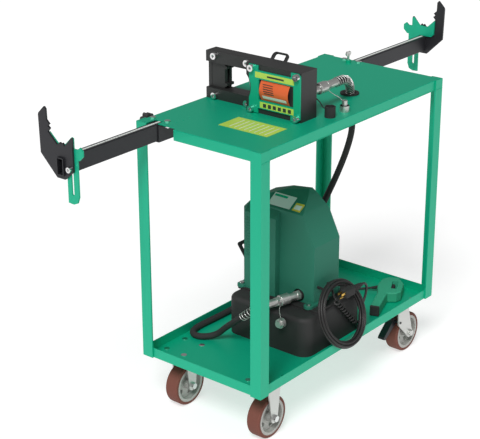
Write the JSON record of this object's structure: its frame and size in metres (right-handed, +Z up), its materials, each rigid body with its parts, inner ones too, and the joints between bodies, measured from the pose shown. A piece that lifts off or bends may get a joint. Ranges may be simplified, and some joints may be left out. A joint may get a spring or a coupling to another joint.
{
  "type": "strut shear table with hydraulic pump",
  "caption": "Rolling steel table with a hydraulic strut shear head, telescoping support arms with adjustable saddles, and an electric-hydraulic pump with hose and hand control.",
  "frame": {"origin": "centre of the bounding box in plan, on the floor under the wheels", "axes": "+X along the table and the support arms, towards the swivel casters; +Y across the table, away from the hand control; +Z up"},
  "size_m": [1.6972, 0.5113, 1.0971],
  "materials": {
    "table_paint": "semi-gloss emerald powder coat",
    "arm_black": "satin black",
    "head_black": "satin black oxide",
    "zinc": "zinc plated",
    "hard_steel": "ground steel",
    "cast_knob": "matte black",
    "tyre_maroon": "maroon polyurethane",
    "wheel_grey": "light grey paint",
    "rubber_black": "matte black rubber",
    "shroud_green": "moulded dark green",
    "tank_black": "moulded black",
    "control_green": "moulded green",
    "silver_screw": "bright plated"
  },
  "bodies": {
    "table": {"top_shelf": "table_paint", "bottom_tray": "table_paint", "legs": "table_paint", "arm_sleeves": "arm_black", "table_bolts": "silver_screw", "rigid_forks": "zinc", "swivel_plates": "zinc", "head_frame": "head_black", "keeper_bars": "head_black", "head_bolts": "silver_screw", "fixed_die": "head_black", "cylinder_gland": "hard_steel", "return_spring": "hard_steel", "guard_plate": "table_paint", "head_handle": "head_black", "couplers": "zinc", "hose_fittings": "zinc", "hose_grommet": "rubber_black", "hydraulic_hose": "rubber_black", "dust_caps": "rubber_black", "pump_tank": "tank_black", "pump_block": "tank_black", "pump_motor": "hard_steel", "pump_shroud": "shroud_green", "shroud_bolts": "silver_screw", "pendant_body": "control_green", "power_cord_coil": "rubber_black", "power_plug": "rubber_black", "pendant_cord_curl": "rubber_black", "pump_cords": "rubber_black"},
    "left_arm": {"left_arm_tube": "arm_black", "left_saddle_plate": "arm_black", "left_blade_bolt": "silver_screw"},
    "right_arm": {"right_arm_tube": "arm_black", "right_saddle_plate": "arm_black", "right_blade_bolt": "silver_screw"},
    "left_blade": {"left_support_blade": "table_paint"},
    "right_blade": {"right_support_blade": "table_paint"},
    "clamp_knob": {"arm_clamp_knob": "cast_knob"},
    "wing_screw": {"arm_wing_screw": "zinc"},
    "fork_left": {"swivel_fork_left": "zinc", "swivel_axle_left": "zinc"},
    "fork_right": {"swivel_fork_right": "zinc", "swivel_axle_right": "zinc"},
    "brake_left": {"brake_pedal_left": "arm_black"},
    "brake_right": {"brake_pedal_right": "arm_black"},
    "wheel_rigid_left": {"tyre_rigid_left": "tyre_maroon", "wheel_core_rigid_left": "wheel_grey"},
    "wheel_rigid_right": {"tyre_rigid_right": "tyre_maroon", "wheel_core_rigid_right": "wheel_grey"},
    "wheel_swivel_left": {"tyre_swivel_left": "tyre_maroon", "wheel_core_swivel_left": "wheel_grey"},
    "wheel_swivel_right": {"tyre_swivel_right": "tyre_maroon", "wheel_core_swivel_right": "wheel_grey"},
    "ram_body": {"ram": "hard_steel", "moving_blade": "hard_steel"},
    "collar_head": {"head_collar": "zinc"},
    "collar_pump": {"pump_collar": "zinc"},
    "carry_handle_body": {"carry_handle": "tank_black"},
    "trigger": {"pendant_trigger": "rubber_black"}
  },
  "joints": [
    {"name": "left_arm_slide", "type": "slide", "parent": "table", "child": "left_arm", "axis": [-1, 0, 0], "range_m": [-0.305, 0.25]},
    {"name": "right_arm_slide", "type": "slide", "parent": "table", "child": "right_arm", "axis": [1, 0, 0], "range_m": [-0.375, 0.195]},
    {"name": "left_blade_slide", "type": "slide", "parent": "left_arm", "child": "left_blade", "axis": [0, 0, 1], "range_m": [0, 0.072]},
    {"name": "right_blade_slide", "type": "slide", "parent": "right_arm", "child": "right_blade", "axis": [0, 0, 1], "range_m": [0, 0.072]},
    {"name": "clamp_knob_turn", "type": "hinge", "parent": "table", "child": "clamp_knob", "pos_m": [-0.424, 0.21555, 0.9184], "axis": [0, 1, 0], "continuous": true},
    {"name": "wing_screw_turn", "type": "hinge", "parent": "table", "child": "wing_screw", "pos_m": [0.3847, 0.09155, 0.948], "axis": [0, 0, 1], "continuous": true},
    {"name": "rigid_left_spin", "type": "hinge", "parent": "table", "child": "wheel_rigid_left", "pos_m": [-0.3785, 0.14655, 0.067], "axis": [0, 1, 0], "continuous": true},
    {"name": "caster_left_swivel", "type": "hinge", "parent": "table", "child": "fork_left", "pos_m": [0.314, 0.14655, 0.16], "axis": [0, 0, 1], "continuous": true},
    {"name": "swivel_left_spin", "type": "hinge", "parent": "fork_left", "child": "wheel_swivel_left", "pos_m": [0.354, 0.14655, 0.067], "axis": [0, 1, 0], "continuous": true},
    {"name": "brake_left_press", "type": "hinge", "parent": "fork_left", "child": "brake_left", "pos_m": [0.295, 0.14655, 0.124], "axis": [0, -1, 0], "range_deg": [0, 4]},
    {"name": "rigid_right_spin", "type": "hinge", "parent": "table", "child": "wheel_rigid_right", "pos_m": [-0.3785, -0.17545, 0.067], "axis": [0, 1, 0], "continuous": true},
    {"name": "caster_right_swivel", "type": "hinge", "parent": "table", "child": "fork_right", "pos_m": [0.314, -0.17545, 0.16], "axis": [0, 0, 1], "continuous": true},
    {"name": "swivel_right_spin", "type": "hinge", "parent": "fork_right", "child": "wheel_swivel_right", "pos_m": [0.354, -0.17545, 0.067], "axis": [0, 1, 0], "continuous": true},
    {"name": "brake_right_press", "type": "hinge", "parent": "fork_right", "child": "brake_right", "pos_m": [0.295, -0.17545, 0.124], "axis": [0, -1, 0], "range_deg": [0, 4]},
    {"name": "ram_slide", "type": "slide", "parent": "table", "child": "ram_body", "axis": [0, 1, 0], "range_m": [0, 0.08], "deforming": ["return_spring"]},
    {"name": "head_collar_turn", "type": "hinge", "parent": "table", "child": "collar_head", "pos_m": [-0.094, -0.14445, 1.008], "axis": [1, 0, 0], "continuous": true},
    {"name": "pump_collar_turn", "type": "hinge", "parent": "table", "child": "collar_pump", "pos_m": [-0.17313, -0.08321, 0.345], "axis": [-0.9659, 0.2588, 0], "continuous": true},
    {"name": "carry_handle_swing", "type": "hinge", "parent": "table", "child": "carry_handle_body", "pos_m": [-0.0555, 0.12955, 0.4077], "axis": [1, 0, 0], "range_deg": [0, 40]},
    {"name": "trigger_press", "type": "slide", "parent": "table", "child": "trigger", "axis": [-0.4695, 0.8829, 0], "range_m": [0, 0.0035], "stiffness_N_per_m": 1500}
  ]
}
